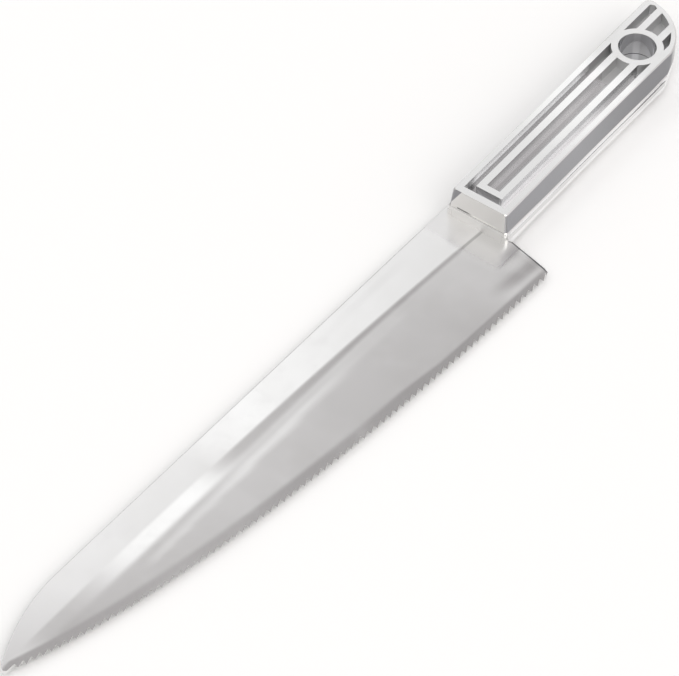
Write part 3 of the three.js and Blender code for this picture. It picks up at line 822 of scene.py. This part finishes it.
class KNIFE_OT_handle(bpy.types.Operator):
    """Softens the edges of the ribbed shell and of the back cover and seats their front on the blade"""
    bl_idname = "knife.handle"
    bl_label = "Handle"

    def execute(self, context):
        sizes = context.scene.knife_handle
        finish = context.scene.knife_finish
        gloss, front, satin = (
            silver_coat(name, finish, tone, cloud, roughness, finish.handle_ripple, shade_painter)
            for name, tone, cloud, roughness, shade_painter in (
                ("moulded_silver", finish.silver, finish.silver_cloud, finish.handle_gloss, handle_painted_shade),
                ("front_silver", finish.front_silver, finish.front_cloud, finish.front_gloss, front_painted_shade),
                ("satin_channel", finish.channel_silver, finish.channel_cloud, finish.satin_gloss, channel_painted_shade_and_haze),
            )
        )
        shell = self.soften(context, "handle_front_shell", "ribbed_shell", sizes)
        dress(shell, "handle_front_shell", gloss, front, satin)
        for polygon in shell.data.polygons:
            if self.on_front(polygon, sizes):
                polygon.material_index = 1
            elif self.in_relief(polygon.center, sizes):
                polygon.material_index = 2
        cover = self.soften(context, "handle_back_cover", "back_cover", sizes)
        dress(cover, "handle_back_cover", gloss, front)
        for polygon in cover.data.polygons:
            polygon.material_index = int(self.on_front(polygon, sizes))
        return {"FINISHED"}

    def on_front(self, polygon, sizes):
        return polygon.normal.x < -0.85 and polygon.center.x < FRONT + sizes.front_depth

    def in_relief(self, place, sizes):
        """Whether a place lies in the channels or windows, below the top face."""
        low, high = SHELL_BOX
        flat = place.xy
        hole = Vector((high[0] - sizes.hole_from_butt, 0))
        butt = Vector((high[0] - sizes.butt_radius, sizes.butt_side))
        under_top = TOP - place.z
        return (
            sizes.edge_round < under_top < sizes.relief_depth + sizes.edge_round
            and abs(flat.y) < sizes.relief_half + sizes.edge_round
            and flat.x > low[0] + sizes.front_border
            and (flat - hole).length > sizes.hole_radius + sizes.edge_round * 2
            and (flat.x < butt.x or (flat - butt).length < sizes.butt_radius - sizes.butt_border / 2)
        )

    def soften(self, context, node, name, sizes):
        start_clean()
        piece = bpy.data.objects.new(name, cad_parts[node].data.copy())
        context.scene.collection.objects.link(piece)
        context.view_layer.objects.active = piece
        piece.select_set(True)
        edit()
        bpy.ops.mesh.remove_doubles(threshold=1e-6)
        bpy.ops.mesh.dissolve_limited(angle_limit=sizes.flat_angle)
        bpy.ops.mesh.select_mode(type="EDGE")
        bpy.ops.mesh.select_all(action="DESELECT")
        bpy.ops.mesh.edges_select_sharp(sharpness=sizes.sharp_angle)
        leave_edit()
        self.weigh_edges(piece.data, sizes)
        self.seat_front(piece.data, sizes)
        self.widen_skirt(piece.data, sizes)
        rounding = piece.modifiers.new("rounding", "BEVEL")
        rounding.width = sizes.channel_round
        rounding.segments = sizes.round_steps
        rounding.limit_method = "WEIGHT"
        rounding.use_clamp_overlap = True
        bpy.ops.object.modifier_apply(modifier=rounding.name)
        bpy.ops.object.shade_smooth_by_angle(angle=sizes.smooth_angle)
        evener = piece.modifiers.new("even_shading", "WEIGHTED_NORMAL")
        evener.weight = 100
        evener.keep_sharp = True
        bpy.ops.object.modifier_apply(modifier=evener.name)
        return piece

    def weigh_edges(self, mesh, sizes):
        """Gives the sharp edges their share of the widest rounding, which the channel floors get in full."""
        floor = TOP - sizes.relief_depth
        flange = FLAT + sizes.flange_height
        front = FRONT + sizes.front_depth / 3
        weights = mesh.attributes.new("bevel_weight_edge", "FLOAT", "EDGE")
        for edge in mesh.edges:
            ends = [mesh.vertices[i].co for i in edge.vertices]
            on_floor = all(abs(end.z - floor) < NEAR for end in ends)
            on_front = all(end.x < front for end in ends)
            on_low_front = on_front and all(end.z < flange + NEAR for end in ends)
            if edge.select and not on_low_front:
                width = sizes.edge_round * (0.5 if on_front else 1.0)
                weights.data[edge.index].value = 1.0 if on_floor else width / sizes.channel_round

    def seat_front(self, mesh, sizes):
        """Closes the play that shows at the front: draws the foot down to the blade and out to the rims."""
        closed = sizes.rim_gap * 0.9
        for vertex in mesh.vertices:
            place = vertex.co
            if place.x > FRONT + sizes.foot_depth:
                continue
            at_front = place.x < FRONT + sizes.front_depth
            if at_front and abs(place.z - FLAT - sizes.rim_height - sizes.rim_gap) < NEAR:
                place.z -= closed
            if abs(abs(place.y) - sizes.foot_half) < NEAR and place.z < FLAT + sizes.flange_height:
                place.y += math.copysign(closed, place.y)
            if abs(place.z - FLAT - sizes.foot_gap) < NEAR:
                place.z -= sizes.foot_reach

    def widen_skirt(self, mesh, sizes):
        """Lets the shoulder and the rims below it stand out a little along the grip."""
        limit = FLAT + sizes.flange_height + NEAR
        fade = sizes.grip_end + sizes.grip_fade
        for vertex in mesh.vertices:
            place = vertex.co
            behind = place.x - FRONT
            full = eased(0, sizes.grip_start, behind) * (1 - eased(sizes.grip_end, fade, behind))
            if place.z < limit and abs(place.y) > sizes.outer_wall:
                place.y += math.copysign(sizes.skirt_out * full, place.y)


class KNIFE_OT_stage(bpy.types.Operator):
    """Sets the pale floor, the soft light and the camera"""
    bl_idname = "knife.stage"
    bl_label = "Stage"

    def execute(self, context):
        studio = context.scene.knife_studio
        self.floor(context, studio)
        self.light(context, studio)
        self.camera(context, studio)
        context.scene.view_settings.view_transform = "Standard"
        return {"FINISHED"}

    def floor(self, context, studio):
        start_clean()
        bpy.ops.mesh.primitive_plane_add(size=studio.floor_size, location=(0, 0, CAD_BOX[0][2]))
        floor = context.object
        floor.name = "pale_floor"
        bpy.ops.object.transform_apply(location=True, rotation=True, scale=True)
        material = bpy.data.materials.new("pale_floor")
        tree = Tree(material)
        shader = tree.add(
            "ShaderNodeBsdfPrincipled", None,
            {"Base Color": rgba(studio.floor_tint), "Roughness": 0.9, "Specular IOR Level": 0.1},
        )
        tree.add("ShaderNodeOutputMaterial", None, {"Surface": shader})
        floor.data.materials.append(material)

    def light(self, context, studio):
        """A soft room: a bright strip beyond the spine, dimmer walls by lean and height, and the panels."""
        world = bpy.data.worlds.new("soft_studio")
        context.scene.world = world
        tree = Tree(world)
        bearing = tree.add("ShaderNodeTexCoord", output="Generated")
        x, y, z = (part_of(tree, bearing, axis) for axis in AXES)
        lean = (180 / math.pi) * y.math("ARCTAN2", y, z)
        gap = x.between(0.578, 0.606) * x.until(0.616, 0.641)
        strip = 0.24 * lean.ramp(18, 22.5) + 0.7 * lean.ramp(22.5, 27) * (1 - 0.4 * gap)
        strip = strip - 0.75 * lean.between(31, 46)
        behind = 0.58 * lean.until(-12, 8) + 0.25 * lean.until(-52, -34) * lean.between(-66, -56)
        toward_butt = x.between(0.3, 0.5)
        right = 0.38 + strip + behind * (0.5 + 0.5 * toward_butt)
        high = z.between(0.715, 0.765)
        low = 0.62 + 0.45 * z.between(0.5, 0.62)
        left = low * (1 - high) + (0.76 + 0.52 * lean.ramp(21.5, 25.5)) * high
        side = x.between(-0.25, 0.25)
        strength = right * side + left * (1 - side)
        for direction, full, faded, power in PANELS:
            toward = part_of(tree, bearing, Vector(direction).normalized())
            rim, core = (math.cos(math.radians(half)) for half in (faded, full))
            strength = strength + power * toward.between(rim, core)
        dim = blend(tree, side, rgba(studio.left_light), rgba(studio.low_light))
        plain = lean.between(20, 27) * side + high * (1 - side)
        colour = blend(tree, plain, dim, rgba(studio.high_light))
        background = tree.add("ShaderNodeBackground", None, {"Color": colour, "Strength": strength})
        tree.add("ShaderNodeOutputWorld", None, {"Surface": background})

    def camera(self, context, studio):
        a, e, r = studio.azimuth, studio.elevation, studio.roll
        back = Vector((math.sin(a) * math.cos(e), -math.cos(a) * math.cos(e), math.sin(e)))
        right = Vector((math.cos(a), math.sin(a), 0))
        up = back.cross(right)
        across = math.cos(r) * right + math.sin(r) * up
        above = math.cos(r) * up - math.sin(r) * right
        data = bpy.data.cameras.new("camera")
        data.lens = studio.focal
        data.sensor_width = 36
        data.clip_end = 100
        camera = bpy.data.objects.new("camera", data)
        context.scene.collection.objects.link(camera)
        place = Vector(studio.aim) + back * studio.distance
        camera.matrix_world = Matrix.Translation(place) @ Matrix((across, above, back)).transposed().to_4x4()
        context.scene.camera = camera


class KNIFE_PT_panel(bpy.types.Panel):
    """Builds the knife and shows its sizes"""
    bl_label = "Serving knife"
    bl_idname = "KNIFE_PT_panel"
    bl_space_type = "VIEW_3D"
    bl_region_type = "UI"
    bl_category = "Knife"

    def draw(self, context):
        layout = self.layout
        for operator in (KNIFE_OT_blade, KNIFE_OT_handle, KNIFE_OT_stage):
            layout.operator(operator.bl_idname)
        scene = context.scene
        for group in (scene.knife_blade, scene.knife_handle, scene.knife_finish, scene.knife_studio):
            box = layout.box()
            for key in group.bl_rna.properties.keys():
                if key not in {"rna_type", "name"}:
                    box.prop(group, key)


CLASSES = (
    KnifeBladeSizes, KnifeHandleSizes, KnifeFinish, KnifeStudio,
    KNIFE_OT_blade, KNIFE_OT_handle, KNIFE_OT_stage, KNIFE_PT_panel,
)


def register():
    for cls in CLASSES:
        bpy.utils.register_class(cls)
    bpy.types.Scene.knife_blade = bpy.props.PointerProperty(type=KnifeBladeSizes)
    bpy.types.Scene.knife_handle = bpy.props.PointerProperty(type=KnifeHandleSizes)
    bpy.types.Scene.knife_finish = bpy.props.PointerProperty(type=KnifeFinish)
    bpy.types.Scene.knife_studio = bpy.props.PointerProperty(type=KnifeStudio)


def unregister():
    for key in ("knife_blade", "knife_handle", "knife_finish", "knife_studio"):
        delattr(bpy.types.Scene, key)
    for cls in reversed(CLASSES):
        bpy.utils.unregister_class(cls)


def main():
    register()
    bpy.ops.knife.blade()
    bpy.ops.knife.handle()
    bpy.ops.knife.stage()


if __name__ == "__main__":
    main()
